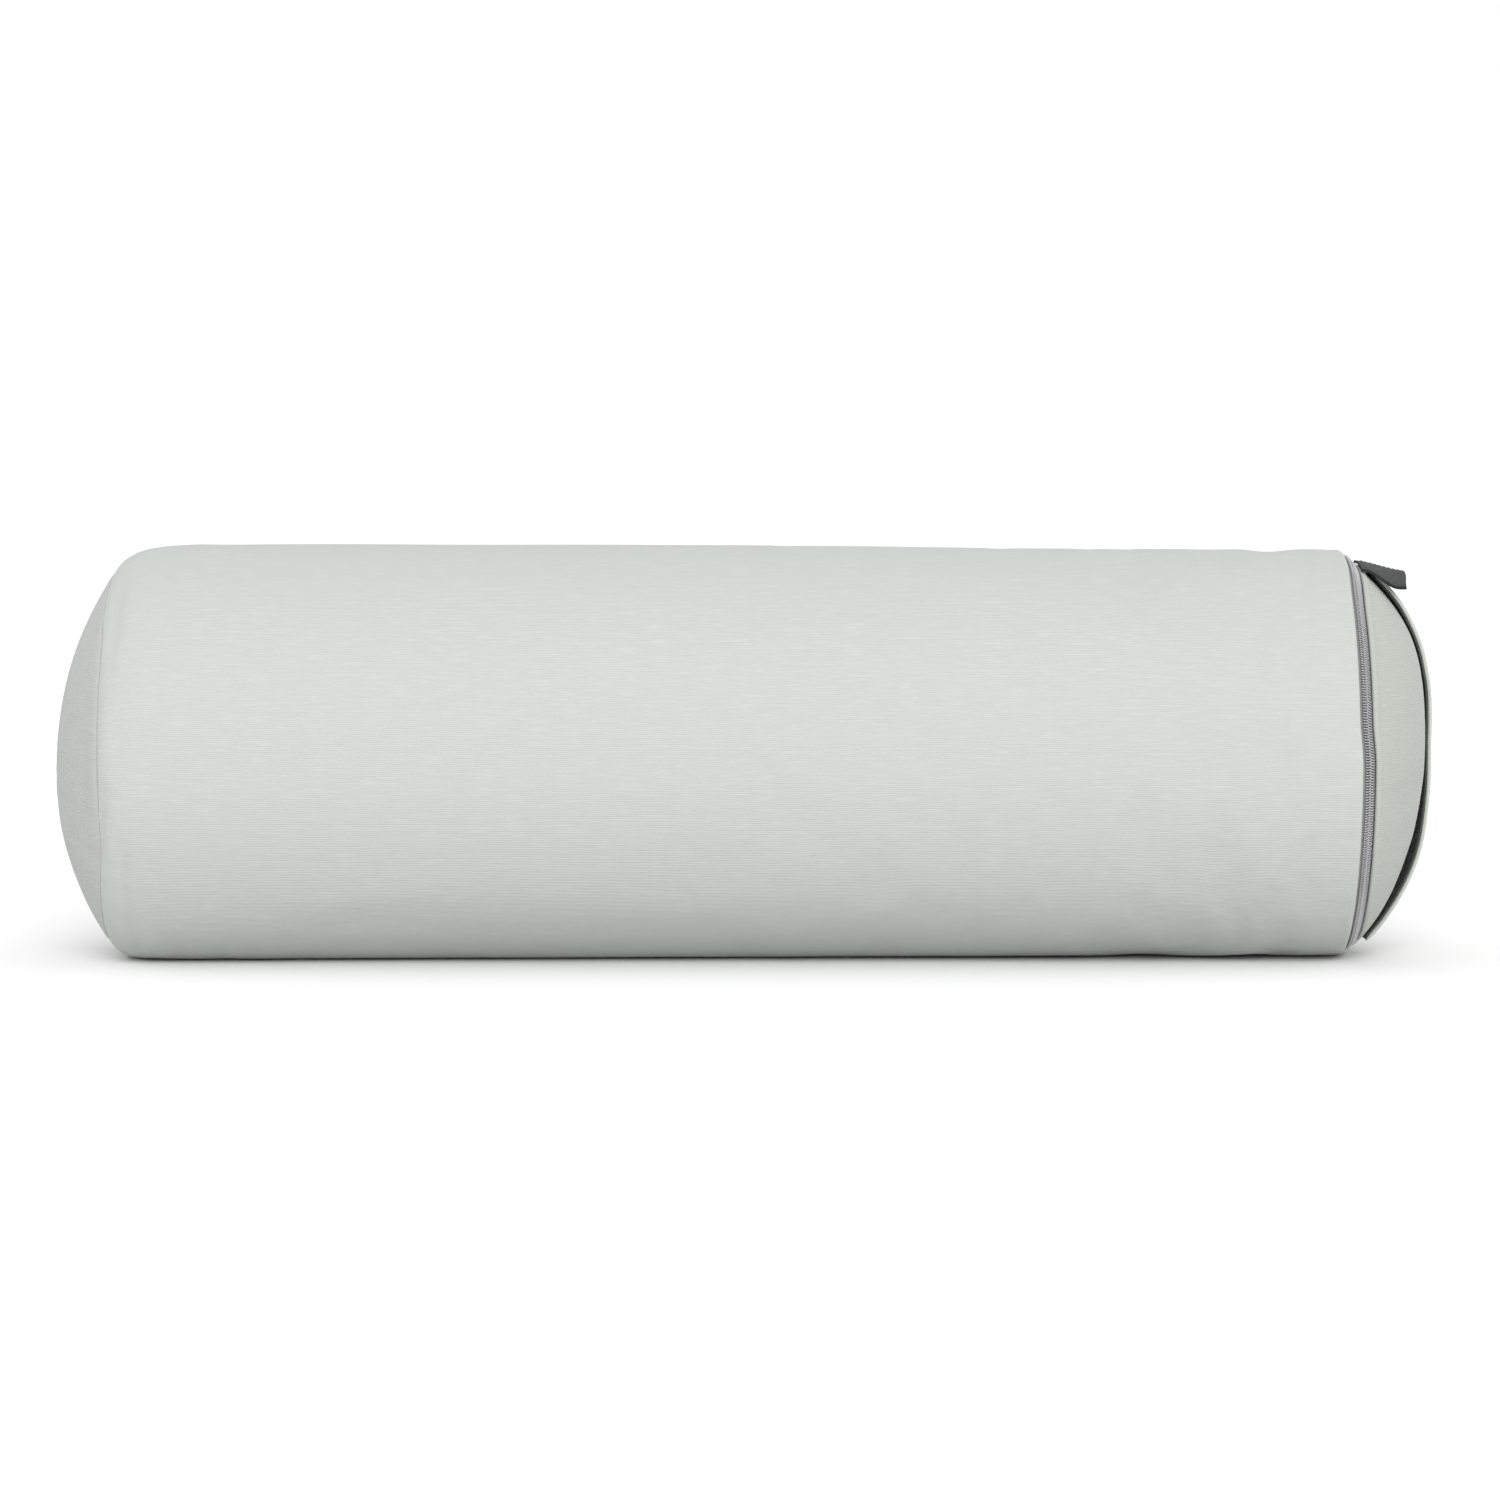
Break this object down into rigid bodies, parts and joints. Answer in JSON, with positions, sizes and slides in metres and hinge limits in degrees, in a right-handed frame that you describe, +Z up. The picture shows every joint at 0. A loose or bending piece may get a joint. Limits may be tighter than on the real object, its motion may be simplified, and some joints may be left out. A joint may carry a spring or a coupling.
{
  "type": "bolster pillow",
  "caption": "Round bolster pillow for a massage table, with a zipped removable cover, domed ends, a carry handle on the zipped end and a stuffed inner pillow.",
  "frame": {"origin": "centre of the box on the surface that the bolster rests on, under the middle of its length", "axes": "+X along the bolster towards the zipped end with the handle, +Z up, -Y the side on which the zip runs down"},
  "size_m": [0.7234, 0.22, 0.216],
  "materials": {
    "cover_fabric": "pale sage grey ribbed upholstery fabric, matt",
    "zip_tape": "grey woven polyester tape",
    "zip_coil": "pale lavender grey nylon coil",
    "zip_metal": "grey enamelled zinc slider",
    "tag_cloth": "charcoal cotton tag cloth, folded",
    "thread": "polyester sewing thread to match the cover",
    "tag_thread": "grey sewing thread on the tag",
    "strap_lining": "woven lining of the handle",
    "liner_cotton": "unbleached cotton liner",
    "fibre_fill": "polyester fibre filling",
    "label_satin": "blank woven label"
  },
  "bodies": {
    "bolster": {"cover_body_panel": "cover_fabric", "plain_end_panel": "cover_fabric", "zip_end_panel": "cover_fabric", "body_long_seam_stitching": "thread", "plain_end_seam_stitching": "thread", "zip_end_seam_stitching": "thread", "care_label": "label_satin", "zip_tape_body_side": "zip_tape", "zip_tape_end_side": "zip_tape", "zip_coil_body_side": "zip_coil", "zip_coil_end_side": "zip_coil", "zip_stitching_body_side": "thread", "zip_stitching_end_side": "thread", "zip_top_stops": "zip_coil", "zip_bottom_stop": "zip_coil", "liner_body_panel": "liner_cotton", "liner_plain_end": "liner_cotton", "liner_zip_end": "liner_cotton", "liner_end_seam_stitching": "liner_cotton", "liner_long_seam_stitching": "liner_cotton", "liner_closing_stitching": "liner_cotton", "filling": "fibre_fill"},
    "zip_slider": {"zip_slider_body": "zip_metal"},
    "zip_pull": {"zip_pull": "zip_metal"},
    "seam_tag": {"seam_tag": "tag_cloth", "seam_tag_stitching": "tag_thread"},
    "carry_handle": {"handle_strap_outer": "cover_fabric", "handle_strap_lining": "strap_lining", "handle_edge_stitching": "thread", "handle_tack_top": "thread", "handle_tack_bottom": "thread"}
  },
  "joints": [
    {"name": "slider_travel", "type": "hinge", "parent": "bolster", "child": "zip_slider", "pos_m": [0.31596, 0, 0.106], "axis": [1, 0, 0], "range_deg": [0, 196]},
    {"name": "pull_flip", "type": "hinge", "parent": "zip_slider", "child": "zip_pull", "pos_m": [0.32013, 0.06767, 0.18665], "axis": [0, 0.766, -0.6428], "range_deg": [0, 100]},
    {"name": "tag_flip", "type": "hinge", "parent": "bolster", "child": "seam_tag", "pos_m": [0.32213, -0.00961, 0.20584], "axis": [0, -0.9954, -0.0958], "range_deg": [-2, 60]},
    {"name": "handle_lift", "type": "slide", "parent": "bolster", "child": "carry_handle", "axis": [1, 0, 0], "range_m": [0, 0.01]}
  ]
}
